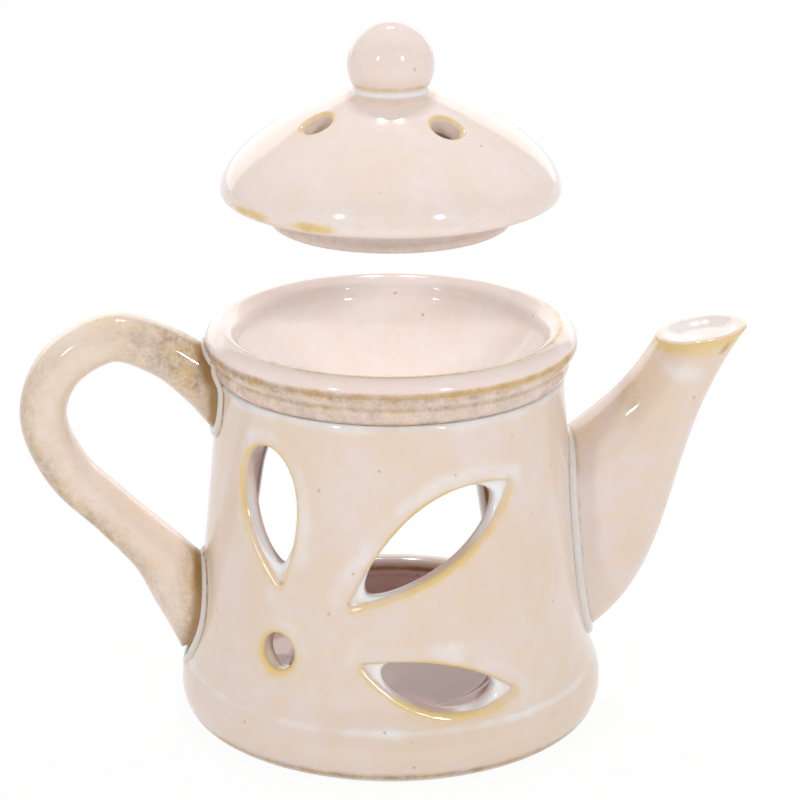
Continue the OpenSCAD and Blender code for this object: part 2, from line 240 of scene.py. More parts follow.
class Skin:
    """A piece in the making: its points in millimetres, its faces and the glaze's marks."""

    turns = np.arange(TURNS) * 2 * math.pi / TURNS

    def __init__(self):
        self.points = np.empty((0, 3))
        self.marks = np.empty((0, len(MARKS)))
        self.faces = []

    def lay(self, points, marks=None):
        """Adds points with their marks and gives their numbers."""
        start = len(self.points)
        values = np.zeros((len(points), len(MARKS)))
        for name, value in (marks or {}).items():
            values[:, MARKS.index(name)] = np.clip(value, 0, 1)
        self.points = np.vstack((self.points, points))
        self.marks = np.vstack((self.marks, values))
        return np.arange(start, start + len(points))

    def bridge(self, first, second, closed=True):
        """Joins two rows of as many points with faces."""
        count = len(first) if closed else len(first) - 1
        for i in range(count):
            j = (i + 1) % len(first)
            self.faces.append((first[i], first[j], second[j], second[i]))

    def bridge_all(self, rows, closed=True):
        for first, second in zip(rows, rows[1:]):
            self.bridge(first, second, closed)

    def cap(self, row, marks=None):
        """Closes a row with a fan round its middle."""
        middle = self.lay(self.points[row].mean(axis=0)[None], marks)[0]
        for i, number in enumerate(row):
            self.faces.append((number, row[(i + 1) % len(row)], middle))

    def lathe(self, section, paint):
        """Spins a section round the axis. paint gives the marks along it, or along it and round it."""
        rows = []
        for number, (r, z) in enumerate(section):
            marks = {name: values[number] for name, values in paint.items()}
            rows.append(self.lay(round_axis(max(r, 0), z, self.turns), marks))
        self.bridge_all(rows)
        return rows

    def piece(self, name, material):
        """The finished object, with points that lie together joined and faces turned outwards."""
        keys = np.round(self.points * 1e3).astype(np.int64)
        _, kept, place = np.unique(keys, axis=0, return_index=True, return_inverse=True)
        place = place.ravel()
        faces = []
        for face in self.faces:
            corners = list(dict.fromkeys(int(place[number]) for number in face))
            if len(corners) > 2:
                faces.append(corners)
        mesh = bpy.data.meshes.new(name)
        mesh.from_pydata((self.points[kept] * MM).tolist(), [], faces)
        for column, mark in enumerate(MARKS):
            layer = mesh.attributes.new(mark, "FLOAT", "POINT")
            layer.data.foreach_set("value", self.marks[kept, column].astype(np.float32))
        outward(mesh)
        mesh.materials.append(material)
        return put(name, mesh)


def outward(mesh):
    """Turns a closed mesh's faces outwards and shades them smooth."""
    bm = bmesh.new()
    bm.from_mesh(mesh)
    bmesh.ops.recalc_face_normals(bm, faces=bm.faces)
    for face in bm.faces:
        face.smooth = True
    bm.to_mesh(mesh)
    bm.free()


def put(name, mesh):
    """A new object at the origin with this mesh."""
    obj = bpy.data.objects.new(name, mesh)
    bpy.context.collection.objects.link(obj)
    return obj


# Materials

class Wire:
    """An output in a material's nodes, with arithmetic that adds Math nodes."""

    def __init__(self, tree, socket):
        self.tree = tree
        self.socket = socket

    def add(self, kind, settings=None, sockets=None, output=0):
        """A new node from its type, its settings and the values or links of its sockets."""
        node = self.tree.nodes.new(kind)
        for key, value in (settings or {}).items():
            setattr(node, key, value)
        for key, value in (sockets or {}).items():
            if isinstance(value, Wire):
                self.tree.links.new(value.socket, node.inputs[key])
            else:
                node.inputs[key].default_value = value
        return Wire(self.tree, node.outputs[output])

    def other(self, output):
        """Another output of the same node."""
        return Wire(self.tree, self.socket.node.outputs[output])

    def into(self, socket):
        """Links this output to an input."""
        self.tree.links.new(self.socket, socket)

    def math(self, operation, *values):
        return self.add("ShaderNodeMath", {"operation": operation}, dict(enumerate(values)))

    def __add__(self, other):
        return self.math("ADD", self, other)

    def __sub__(self, other):
        return self.math("SUBTRACT", self, other)

    def __rsub__(self, other):
        return self.math("SUBTRACT", other, self)

    def __mul__(self, other):
        return self.math("MULTIPLY", self, other)

    __radd__ = __add__
    __rmul__ = __mul__

    def __gt__(self, other):
        return self.math("GREATER_THAN", self, other)

    def __lt__(self, other):
        return self.math("LESS_THAN", self, other)

    def fade(self, start, end):
        """A smooth step from 0 at start to 1 at end."""
        sockets = {"Value": self, "From Min": start, "From Max": end}
        return self.add("ShaderNodeMapRange", {"interpolation_type": "SMOOTHSTEP"}, sockets)

    def noise(self, scale, detail=2.0, roughness=0.5, stretch=(1, 1, 1), shift=(0, 0, 0)):
        """Noise over this vector, with features a given number to the metre."""
        spot = self.add("ShaderNodeMapping", None, {"Vector": self, "Scale": stretch, "Location": shift})
        sockets = {"Vector": spot, "Scale": scale, "Detail": detail, "Roughness": roughness}
        return self.add("ShaderNodeTexNoise", None, sockets, "Fac")

    def tint(self, first, second):
        """The colour that lies between two by this share."""
        sockets = {0: self, 6: first, 7: second}
        return self.add("ShaderNodeMix", {"data_type": "RGBA"}, sockets, 2)


def colour(red, green, blue):
    """A colour from its display values, from 0 to 255."""
    def linear(value):
        share = value / 255
        return share / 12.92 if share <= 0.04045 else ((share + 0.055) / 1.055) ** 2.4
    return (linear(red), linear(green), linear(blue), 1.0)


PINK_CREAM = colour(225, 209, 203)
PEACH = colour(223, 203, 185)
MILK = colour(234, 233, 233)
SLIP = colour(219, 217, 215)
OCHRE = colour(224, 196, 138)
RUST = colour(160, 122, 74)
ASH = colour(150, 124, 92)
GOLD = colour(208, 176, 116)
STRAW = colour(226, 204, 178)
MAUVE = colour(227, 202, 195)
SPECK = colour(178, 146, 92)
CLAY = colour(214, 190, 160)

# Roughness of glaze and of bare clay, and the depth of the waves in the glaze, in metres
GLAZE_ROUGH = 0.06
CLAY_ROUGH = 0.7
WAVE_DEPTH = 0.002
# Iron specks: places for them to the metre, their size as a share of a place, and the places left free
SPECK_PLACES = 190
SPECK_SIZE = 0.1
SPECK_FREE = 0.68


def new_material(name):
    """A material's shader and a wire with its Object coordinates."""
    material = bpy.data.materials.new(name)
    material.use_nodes = True
    tree = material.node_tree
    shader = tree.nodes["Principled BSDF"]
    place = Wire(tree, tree.nodes.new("ShaderNodeTexCoord").outputs["Object"])
    return material, shader, place


def glaze(name, body, patch, mottled=0.45):
    """Glaze that breaks to ochre on edges, pools milky in seams and greys in mottled streaks.

    body and patch are the colours that cloud into each other, and mottled is how much straw is in them.
    """
    material, shader, place = new_material(name)

    def mark(attribute):
        return place.add("ShaderNodeAttribute", {"attribute_name": attribute}, None, "Fac")

    def patchy(attribute, noise, spread, start, end):
        """A mark with a ragged edge: noise decides how far it reaches where it is weak."""
        given = mark(attribute)
        return (given + (noise - 0.5) * spread).fade(start, end) * given.fade(0, 0.15)

    clouds = place.noise(70, 5, 0.62, stretch=(1, 1, 0.7)).fade(0.36, 0.62)
    mottle = place.noise(420, 3, 0.6, shift=(1, 4, 2))
    grain = place.noise(1300, 2, 0.6)
    ragged = place.noise(260, 4, 0.65)
    drift = place.noise(75, 3, 0.6, shift=(2, 5, 1))
    streak = place.noise(300, 5, 0.7, stretch=(1, 1, 0.7), shift=(3, 1, 2))
    base = clouds.tint(body, patch)
    base = ((mottle + grain * 0.6).fade(0.7, 1.0) * mottled).tint(base, STRAW)
    base = mark("shade").tint(base, MAUVE)
    base = patchy("milk", drift, 1.1, 0.2, 0.95).tint(base, MILK)
    speckle = (mottle + grain).fade(0.8, 1.2)
    greys = mark("ash") * (0.4 + streak.fade(0.38, 0.62) * 0.28 + speckle * 0.32)
    base = greys.tint(base, (ragged.fade(0.36, 0.66) * 0.75).tint(ASH, GOLD))
    base = patchy("ochre", ragged, 1.0, 0.25, 0.9).tint(base, OCHRE)
    base = patchy("rust", ragged, 0.8, 0.2, 1.0).tint(base, RUST)

    cell = place.add("ShaderNodeTexVoronoi", None, {"Vector": place, "Scale": SPECK_PLACES})
    lot = cell.add("ShaderNodeSeparateColor", None, {0: cell.other("Color")})
    speck = (SPECK_SIZE - cell).fade(0, 0.8 * SPECK_SIZE) * (lot > SPECK_FREE)
    base = (speck * 0.6).tint(base, SPECK)

    bare = mark("bare")
    base = bare.tint(base, grain.fade(0.3, 0.7).tint(CLAY, PEACH))
    base.into(shader.inputs["Base Color"])
    rough = GLAZE_ROUGH + grain * 0.04 + bare * CLAY_ROUGH
    rough.into(shader.inputs["Roughness"])
    height = place.noise(26, 2) + mottle * 0.03 + bare * grain * 0.2
    bump = place.add("ShaderNodeBump", None, {"Strength": 0.2, "Distance": WAVE_DEPTH, "Height": height})
    bump.into(shader.inputs["Normal"])
    shader.inputs["IOR"].default_value = 1.5
    return material


cream_glaze = glaze("cream glaze", PINK_CREAM, PEACH)
pale_glaze = glaze("pale glaze", colour(248, 240, 236), colour(247, 235, 228), 0.12)
lid_glaze = glaze("cream glaze of the lid", colour(234, 219, 214), colour(233, 215, 205), 0.25)
straw_glaze = glaze("straw glaze", colour(234, 218, 207), colour(231, 212, 196))
slip_glaze = glaze("slip under glaze", SLIP, colour(212, 207, 202))
# Dark glaze for the coils under the seams, which paint the shadow along them
seam_shadow_glaze = glaze("painted seam shadow", ASH, colour(186, 170, 148))


# Walls with openings

def inside(points, outline):
    """Which points lie in a closed outline."""
    x, y = points.T
    crossings = np.zeros(len(points), int)
    for (ax, ay), (bx, by) in zip(outline, np.roll(outline, -1, axis=0)):
        spans = (ay > y) != (by > y)
        if spans.any():
            crossings[spans] += x[spans] < ax + (y[spans] - ay) * (bx - ax) / (by - ay)
    return crossings % 2 == 1


def nearest(points, targets):
    """How far each point is from the nearest target, and that target's number."""
    best = np.full(len(points), np.inf)
    number = np.zeros(len(points), int)
    batch = 64
    for start in range(0, len(targets), batch):
        gaps = np.linalg.norm(points[:, None] - targets[None, start:start + batch], axis=2)
        closer = gaps.min(axis=1) < best
        number[closer] = start + gaps.argmin(axis=1)[closer]
        best = np.minimum(best, gaps.min(axis=1))
    return best, number


def rim(runs, place, corners):
    """An opening's edge on the flat: its points and the ways out of the opening, fanned at corners."""
    fan = 7
    spots, ways = [], []
    lines = [place(run) for run in runs]
    outs = []
    for line in lines:
        along = np.gradient(line, axis=0)
        outs.append(np.column_stack((along[:, 1], -along[:, 0])) / np.linalg.norm(along, axis=1)[:, None])
    for number, (line, out) in enumerate(zip(lines, outs)):
        spots.append(line)
        ways.append(out)
        if corners:
            after = outs[(number + 1) % len(outs)][0]
            start = math.atan2(out[-1][1], out[-1][0])
            turn = (math.atan2(after[1], after[0]) - start + math.pi) % (2 * math.pi) - math.pi
            angles = start + turn * np.arange(1, fan + 1) / (fan + 1)
            spots.append(np.repeat(line[-1:], fan, axis=0))
            ways.append(np.column_stack((np.cos(angles), np.sin(angles))))
    return np.vstack(spots), np.vstack(ways)


# Roundings of an opening's rim on the face and inside, and of its tips, and how deep glaze fills the tips
RIM_R = 1.0
BACK_RIM_R = 0.7
TIP_R = 0.5
TIP_FILL = 0.5
RIM_STEPS = 6
FILL_STEPS = 5
# Gaps at which rings of points follow a rim, how far plain points keep from it, and how far the rings
# keep from the border
RING_GAPS = (0.4, 1, 2)
RIM_CLEAR = 3.2
BORDER_CLEAR = 0.5


class Opening:
    """A hole through a wall on the flat: its edge on the face, its throat, and its edge inside.

    pull is how far glaze has filled it in at each point of its edge, from 0 to 1.
    """

    def __init__(self, face, back, throat=None, rim_r=RIM_R, back_r=BACK_RIM_R):
        self.face = face
        self.back = back
        self.throat = throat or face
        self.rim_r = rim_r
        self.back_r = back_r
        self.pull = fade(np.linalg.norm(self.throat[0] - self.face[0], axis=1), 0.8, 2.4)

    def layers(self, thickness):
        """Shares of the way from face to throat, gaps to the throat and depths, from face to back."""
        rounds = np.linspace(0, math.pi / 2, RIM_STEPS + 1)
        rows = [(0, self.rim_r * (1 - math.sin(a)), self.rim_r * (1 - math.cos(a))) for a in rounds[1:]]
        fill = np.arange(1, FILL_STEPS + 1) / FILL_STEPS
        rows += [(share, 0, self.rim_r + TIP_FILL * share ** 3) for share in fill]
        rows.append((1, 0, mix(self.rim_r + TIP_FILL, thickness - self.back_r, 0.5)))
        rows += [(1, self.back_r * (1 - math.sin(a)), thickness - self.back_r * (1 - math.cos(a)))
                 for a in rounds[:0:-1]]
        return rows

    def row(self, share, gap, depth_share):
        """The points of one layer on the flat."""
        spots, ways = (mix(face, throat, share) + (back - throat) * depth_share
                       for face, throat, back in zip(self.face, self.throat, self.back))
        return spots + ways * (TIP_R + gap)


def pierced(skin, openings, border, fill, place, thickness, paint):
    """Two skins a wall apart, with rounded rims round the openings through them.

    border and fill are points on the flat, place puts them on the wall at a depth, and paint gives
    the marks there from the way to the nearest opening, the glaze in its tip and whether the point
    lies over or under it. The border's numbers outside and inside are given back.
    """
    loops, borders = [], []
    for depth in (0, thickness):
        outlines, rings, edges = [], [], []
        for opening in openings:
            spots, ways = opening.back if depth else opening.face
            rounding = TIP_R + (opening.back_r if depth else opening.rim_r)
            outlines.append(spots + ways * rounding)
            rings += [spots + ways * (rounding + more) for more in RING_GAPS]
            edges.append(spots)
        low, high = border.min(axis=0) + BORDER_CLEAR, border.max(axis=0) - BORDER_CLEAR
        extra = np.vstack(rings)
        extra = extra[((extra > low) & (extra < high)).all(axis=1)]
        sparse = fill[nearest(fill, np.vstack(outlines))[0] > RIM_CLEAR]
        flat = np.vstack([border] + outlines + [extra, sparse])
        joins, start, numbers = [], 0, []
        for outline in [border] + outlines:
            ids = np.arange(start, start + len(outline))
            joins += list(zip(ids.tolist(), np.roll(ids, -1).tolist()))
            numbers.append(ids)
            start += len(outline)
        spots, _, triangles, origins, _, _ = delaunay_2d_cdt(
            [Vector(point) for point in flat], joins, [], 0, 1e-5, True)
        spots = np.array([tuple(spot) for spot in spots])
        triangles = np.array(triangles)
        middles = spots[triangles].mean(axis=1)
        kept = np.ones(len(triangles), bool)
        for outline in outlines:
            kept &= ~inside(middles, outline)
        where = {}
        for number, sources in enumerate(origins):
            for source in sources:
                where[source] = number
        edge = np.vstack(edges)
        away, closest = nearest(spots, edge)
        lift = (spots - edge[closest])[:, 1] / np.maximum(away, TIP_R)
        ids = skin.lay(place(spots, depth), paint(spots, depth, away - TIP_R, 0.0, lift))
        skin.faces += [tuple(ids[triangle]) for triangle in triangles[kept]]
        rows = [ids[[where[number] for number in group.tolist()]] for group in numbers]
        borders.append(rows[0])
        loops.append(rows[1:])

    for opening, outer, inner in zip(openings, *loops):
        rows = [outer]
        for share, gap, depth in opening.layers(thickness):
            flat = opening.row(share, gap, depth / thickness)
            lift = opening.face[1][:, 1]
            marks = paint(flat, depth, np.full(len(flat), gap), opening.pull, lift)
            rows.append(skin.lay(place(flat, depth), marks))
        skin.bridge_all(rows + [inner])
    return borders


# Points along an edge of a cut-out, closer together towards its tips
EDGE_SHARES = np.sin(np.linspace(-math.pi / 2, math.pi / 2, 57))
# How far the glaze fills the tips, and how squarely the opening then ends
TIP_PULL = 3.7
TIP_POWER = 10


def leaf(length, upper, lower, skew):
    """A leaf's two edges anticlockwise from its left tip, on the face and in the throat.

    upper and lower are the bows of its edges, and skew moves the widest part to the right.
    """
    half, upper, lower = length / 2 - TIP_R, upper - TIP_R, lower - TIP_R

    def edges(pull):
        share = EDGE_SHARES * (1 - pull / half)
        blunt = np.sqrt(1 - np.abs(EDGE_SHARES) ** TIP_POWER) if pull else 1
        width = (1 - share ** 2) * (1 + skew * share) * blunt
        keel = np.column_stack((share * half, -lower * width))
        crown = np.column_stack((share * half, upper * width))[::-1]
        return [keel, crown]
    return edges(0), edges(TIP_PULL)


def teardrop(length, width):
    """A teardrop's edge anticlockwise from its point at the bottom, on the face and in the throat."""
    length, width = length - 2 * TIP_R, width - 2 * TIP_R

    def edges(pull):
        rise = (EDGE_SHARES + 1) / 2
        blunt = np.sqrt(1 - (1 - rise) ** TIP_POWER) if pull else 1
        height = mix(pull, length, rise)
        angle = np.arccos(np.clip(1 - 2 * height / length, -1, 1))
        half = width / 2 * np.sin(angle) * np.sin(angle / 2) * 3 * math.sqrt(3) / 4 * blunt
        right = np.column_stack((half, height - length / 2))
        left = (right * (-1, 1))[::-1]
        return [np.vstack((right, left[1:]))]
    return edges(0), edges(TIP_PULL)


def circle(radius):
    """A round hole's edge, anticlockwise."""
    return [arc((0, 0), radius, 0, 360, 40)[:-1]]


# Where white glaze has pooled on the wall: turn, height, and how far it reaches across and up
WALL_POOLS = (
    (-13.0, 31.0, 7.0, 4.5),
    (-44.0, 36.5, 3.5, 6.0),
    (5.0, 29.0, 20.0, 3.0),
    (29.0, 61.5, 6.0, 6.0),
)

# The leaves and the teardrop, each with its turn, height and lean on the wall
CUT_OUTS = (
    (leaf(41.0, 8.4, 4.6, 0.27), 7.7, JOINT_Z - 25.3, 33.2),
    (leaf(32.5, 3.7, 5.8, 0.0), 8.5, FOOT_H + 9.4, -14.2),
    (teardrop(27.6, 14.4), -46.3, JOINT_Z - 21.2, 14.5),
)
AIR_HOLE_R = 3.75
AIR_HOLE_RIM_R = 0.85
AIR_HOLE_TURN = -40.5
AIR_HOLE_Z = FOOT_H + 13.6

DOOR_TURN = 184.0
DOOR_SILL_Z = FOOT_H + 4.0
DOOR_W = 54.5
DOOR_CROWN_Z = JOINT_Z - 10.7
DOOR_HEAD_R = 23.5
DOOR_BACK_R = 2.0


def doorway():
    """The doorway's sill, and its leaning sides with the round head."""
    step = 1.4
    half_w = DOOR_W / 2 - TIP_R
    head_r = DOOR_HEAD_R - TIP_R
    head_z = DOOR_CROWN_Z - DOOR_HEAD_R
    low = DOOR_SILL_Z + TIP_R
    rise = head_z - low
    lean = math.degrees(math.atan2(rise, -half_w) - math.asin(head_r / math.hypot(half_w, rise)))
    head = arc((0, head_z), head_r, lean - 90, 270 - lean)
    sill = np.array([(-half_w, low), (half_w, low)])
    sides = np.vstack((sill[1:], head, sill[:1]))
    return [spread(sill, step), spread(sides, step)]


# Body of the burner

def wall_line(z):
    """Radius of the wall's straight outer face."""
    return WALL_LOW_R + (WALL_HIGH_R - WALL_LOW_R) * (np.asarray(z, float) - FOOT_H) / (JOINT_Z - FOOT_H)


def wall_extra(z):
    """How far glaze and the joints' coves stand out from the straight face."""
    z = np.asarray(z, float)
    return COVE_OUT * np.exp(-(z - FOOT_H) / COVE_H) + FLARE_OUT * np.exp(-(JOINT_Z - z) / FLARE_H)


def on_wall(turn, z, lean):
    """Places an outline on the unrolled wall, round a turn and height, as it is wrapped on the face."""
    tilt = math.radians(lean)
    swing = np.array([[math.cos(tilt), math.sin(tilt)], [-math.sin(tilt), math.cos(tilt)]])
    middle = np.array([math.radians(turn) * UNROLL_R, z])
    scale = np.array([UNROLL_R / float(wall_line(z)), 1])
    return lambda run: middle + np.asarray(run, float) @ swing * scale


def through_wall(turn, z, inset):
    """Places an outline that is cut straight through the wall, where it meets the face or the inside."""
    start = math.radians(turn if turn < SLIT_TURN else turn - 360)

    def place(run):
        height = run[:, 1] + z
        angle = start + np.arcsin(run[:, 0] / (wall_line(height) - inset))
        return np.column_stack((angle * UNROLL_R, height))
    return place


def wall_openings():
    """The cut-outs at the front and the doorway at the back."""
    openings = []
    for (face, throat), turn, z, lean in CUT_OUTS:
        place = on_wall(turn, z, lean)
        end = rim(throat, place, True)
        openings.append(Opening(rim(face, place, True), end, end))
    for outline, turn, z, corners, rim_r, back_r in (
        (circle(AIR_HOLE_R - TIP_R), AIR_HOLE_TURN, AIR_HOLE_Z, False, AIR_HOLE_RIM_R, BACK_RIM_R),
        (doorway(), DOOR_TURN, 0, True, RIM_R, DOOR_BACK_R),
    ):
        face = rim(outline, through_wall(turn, z, 0), corners)
        back = rim(outline, through_wall(turn, z, WALL_T), corners)
        openings.append(Opening(face, back, rim_r=rim_r, back_r=back_r))
    return openings


def chamber_wall():
    """The tapered wall, pierced while it is unrolled and then wrapped round the axis."""
    skin = Skin()
    columns, rows = 150, 40
    left = math.radians(SLIT_TURN - 360) * UNROLL_R
    right = math.radians(SLIT_TURN) * UNROLL_R
    door_x = math.radians(DOOR_TURN - 360) * UNROLL_R
    across = np.linspace(left, right, columns + 1)
    up = np.linspace(FOOT_H, JOINT_Z, rows + 1)
    low_row = np.column_stack((across, np.full(columns + 1, FOOT_H)))
    high_row = np.column_stack((across, np.full(columns + 1, JOINT_Z)))
    left_side = np.column_stack((np.full(rows - 1, left), up[1:-1]))
    right_side = np.column_stack((np.full(rows - 1, right), up[1:-1]))
    border = np.vstack((low_row, right_side, high_row[::-1], left_side[::-1]))
    shifted = (across[:-1] + across[1:]) / 2
    fill = np.vstack([
        np.column_stack((shifted if number % 2 else across[1:-1],
                         np.full(columns if number % 2 else columns - 1, z)))
        for number, z in enumerate(up[1:-1])])

    def place(flat, depth):
        z = flat[:, 1]
        r = wall_line(z) + wall_extra(z) * (1 - depth / WALL_T) - depth
        return round_axis(r, z, flat[:, 0] / UNROLL_R)

    def paint(flat, depth, near, pull, lift):
        x, z = flat.T
        depth = np.full(len(flat), depth)
        on_face = 1.0 - fade(depth, 0.85, 1.3)
        cut = fade(depth, 0.7, 1.3) * (1 - fade(depth, WALL_T - 1.6, WALL_T - 0.7))
        under = fade(-lift, -0.4, 0.8)
        bead = hump(near, RIM_R * 0.5, RIM_R * (0.85 + 0.65 * under)) * on_face
        stain = 0.42 * under * hump(near, RIM_R * 1.6, 2.6) * on_face
        haze = hump(near, RIM_R + 1.6, 3.6) * on_face * (1 - 0.6 * under)
        pools = np.zeros(len(flat))
        for turn, height, wide, tall in WALL_POOLS:
            far = np.hypot((x - math.radians(turn) * UNROLL_R) / wide, (z - height) / tall)
            pools = np.maximum(pools, hump(far, 0, 1) * on_face)
        back_edge = hump(near, 0.2, 1.0) * fade(depth, WALL_T - 1.0, WALL_T - 0.4)
        at_door = np.abs(x - door_x) < DOOR_W * 0.6
        sill = at_door * hump(near, DOOR_BACK_R, 1.1) * fade(depth, WALL_T - 1.2, WALL_T - 0.4)
        top = fade(z, JOINT_Z - 2.4, JOINT_Z - 0.6) * on_face
        foot = FOOT_POOL_MILK * hump(z, FOOT_POOL_Z, FOOT_POOL_REACH) * on_face
        within = fade(depth, WALL_T - 1.2, WALL_T - 0.2)
        return {
            "ochre": np.maximum.reduce([bead * (1 - 0.4 * pull), stain, 0.45 * back_edge * ~at_door]),
            "milk": np.maximum.reduce([
                cut * (0.3 + 0.7 * pull), 0.5 * cut * at_door,
                0.4 * haze, 0.45 * pools, 0.75 * top, foot]),
            "rust": np.maximum(0.3 * back_edge * ~at_door, sill),
            "shade": within * np.where(at_door, fade(near, 1.0, 2.0), 1.0),
        }

    outer, inner = pierced(skin, wall_openings(), border, fill, place, WALL_T, paint)
    low = slice(0, columns + 1)
    high = slice(columns + rows, 2 * columns + rows + 1)
    for row in (low, high):
        skin.bridge(outer[row], inner[row], closed=False)
    return skin


def foot_side():
    """The foot's outer side, from its crisp low edge to the wall."""
    step = 0.1
    top_z = np.array((FOOT_H, FOOT_H + step))
    top_r, just_over = wall_line(top_z) + wall_extra(top_z) + TAB_PROUD
    belly_z = (FOOT_EDGE_H + FOOT_H) / 2 - BELLY_LOW
    belly_r = top_r + (top_r - just_over) / step * (FOOT_H - belly_z)
    return bow([(FOOT_EDGE_R, FOOT_EDGE_H), (belly_r, belly_z), (top_r, FOOT_H)])


def base():
    """The foot, with the chamber's floor and the seat for a tealight."""
    chamber_r = WALL_LOW_R - WALL_T
    tab_z = np.linspace(FOOT_H, FOOT_H + TAB_H, TAB_STEPS)
    tab_r = wall_line(tab_z) + wall_extra(tab_z) + np.linspace(TAB_PROUD, -TAB_PROUD, TAB_STEPS)
    section = soften(np.vstack((
        [(0, 0), (UNDERSIDE_R, 0)],
        foot_side(),
        np.column_stack((tab_r, tab_z))[1:],
        [(tab_r[-1] - 1.2, tab_z[-1]), (chamber_r, FOOT_H)],
        arc((chamber_r - FLOOR_FILLET, FLOOR_H + FLOOR_FILLET), FLOOR_FILLET, 0, -90),
        [(SEAT_R, FLOOR_H), (SEAT_R - SEAT_DEPTH, FLOOR_H - SEAT_DEPTH), (0, FLOOR_H - SEAT_DEPTH)],
    )), GLAZE_SOFT)
    r, z = section.T
    start = np.argmax(r > UNDERSIDE_R - 1)
    under = (np.arange(len(r)) < start) * 1.0
    outside = r > UNDERSIDE_R
    within = (~outside & (np.arange(len(r)) > start)) * 1.0
    skin = Skin()
    skin.lathe(section, {
        "bare": under,
        "ash": hump(z, FOOT_LINE_Z, 1.2) * outside,
        "rust": 0.55 * hump(z, FOOT_LINE_Z, 0.8) * outside,
        "milk": np.maximum(FOOT_POOL_MILK * hump(z, FOOT_POOL_Z, FOOT_POOL_REACH) * outside,
                           0.6 * hump(r, SEAT_R, 0.9) * within),
        "shade": within,
    })
    return skin


def oil_bowl():
    """The dish with its rolled lip, and the band that sits on the wall."""
    out_r = DISH_IN_R + DISH_T
    under_end = math.degrees(math.asin((JOINT_Z + 0.4 - DISH_Z) / out_r))
    crease = meeting((BAND_RING_R, BAND_Z), BAND_R, (LIP_RING_R, LIP_Z), LIP_R)
    band_end = math.degrees(math.atan2(crease[1] - BAND_Z, crease[0] - BAND_RING_R))
    lip_start = math.degrees(math.atan2(crease[1] - LIP_Z, crease[0] - LIP_RING_R))
    rim_z = LIP_Z + LIP_R * math.sin(math.radians(LIP_END))
    dish_start = math.degrees(math.asin((rim_z - DISH_Z) / DISH_IN_R))
    section = soften(np.vstack((
        arc((0, DISH_Z), out_r, -90, under_end),
        arc((BAND_RING_R, BAND_Z), BAND_R, BAND_START, band_end),
        arc((LIP_RING_R, LIP_Z), LIP_R, lip_start, LIP_END),
        arc((0, DISH_Z), DISH_IN_R, dish_start, -90),
    )), GLAZE_SOFT)
    r, z = section.T
    on_lip = np.hypot(r - LIP_RING_R, z - LIP_Z) < LIP_R + 0.4
    angle = np.degrees(np.arctan2(z - LIP_Z, r - LIP_RING_R))
    outer = r > BAND_RING_R
    below = outer & (z < crease[1])
    under = (np.arange(len(r)) < np.argmax(outer)) * 1.0
    skin = Skin()
    spoutward = np.sin(skin.turns)[None]
    frontward = np.cos(skin.turns)[None]
    outer_lip = on_lip * (angle > -90)
    face = (fade(angle, 26, -4) * (0.5 + 0.4 * hump(angle, -4, 34)) * outer_lip)[:, None]
    top_line = (hump(angle, 2, 26) * on_lip)[:, None]
    crest = (hump(angle, 93, 22) * on_lip)[:, None]
    groove = (hump(z, crease[1], 0.9) * outer)[:, None]
    # Grey-brown line at the foot of the band: ash in the glaze, with painted shadow under the band
    ash_and_shadow_line = (hump(z, JOINT_Z + 0.3, 1.2) * below)[:, None]
    ash_with_shadow = np.maximum.reduce([face, 0.48 * below[:, None], groove, ash_and_shadow_line])
    gold_crest = crest * (0.6 + 0.5 * frontward + 0.2 * spoutward)
    brown_crest = 0.55 * crest * fade(frontward, -0.2, 0.6)
    peach_lip = 0.5 * outer_lip * fade(angle, 140, 105)
    skin.lathe(section, {
        "ash": ash_with_shadow * (1 - 0.15 * spoutward),
        "ochre": gold_crest + top_line * (0.65 + 0.45 * spoutward),
        "rust": 0.3 * ash_and_shadow_line + 0.35 * groove + 0.62 * top_line + brown_crest,
        "milk": 0.35 * hump(angle, 60, 40) * on_lip,
        "shade": np.maximum.reduce([under, peach_lip, 0.7 * face[:, 0], 0.7 * below]),
    })
    return skin


# Lid and knob

def dome_section():
    """Section of the lid's outer face, from its crown under the knob to its edge."""
    crown_r = KNOB_FOOT_R / math.sin(DOME_SLOPE)
    crown_z = KNOB_SEAT_Z - crown_r * math.cos(DOME_SLOPE)
    crown = arc((0, crown_z), crown_r, 90, 90 - math.degrees(DOME_SLOPE))
    foot = np.array((KNOB_FOOT_R, KNOB_SEAT_Z))
    along = DOME_REACH * np.array((math.cos(DOME_SLOPE), -math.sin(DOME_SLOPE)))
    side = bow([foot, foot + along, (LID_R, LID_Z + SHOULDER_H), (LID_R, LID_Z)], 96)
    return spread(np.vstack((crown, side[1:])), 0.2)


DOME = dome_section()
DOME_RUN = run_lengths(DOME)
DOME_WAY = np.gradient(DOME, axis=0)
DOME_IN = np.column_stack((DOME_WAY[:, 1], -DOME_WAY[:, 0])) / np.linalg.norm(DOME_WAY, axis=1)[:, None]


def on_dome(run, depth):
    """The point of the lid's section at a way from its crown, at a depth under the face."""
    spot = np.column_stack([np.interp(run, DOME_RUN, column) for column in DOME.T])
    within = np.column_stack([np.interp(run, DOME_RUN, column) for column in DOME_IN.T])
    return spot + within * depth


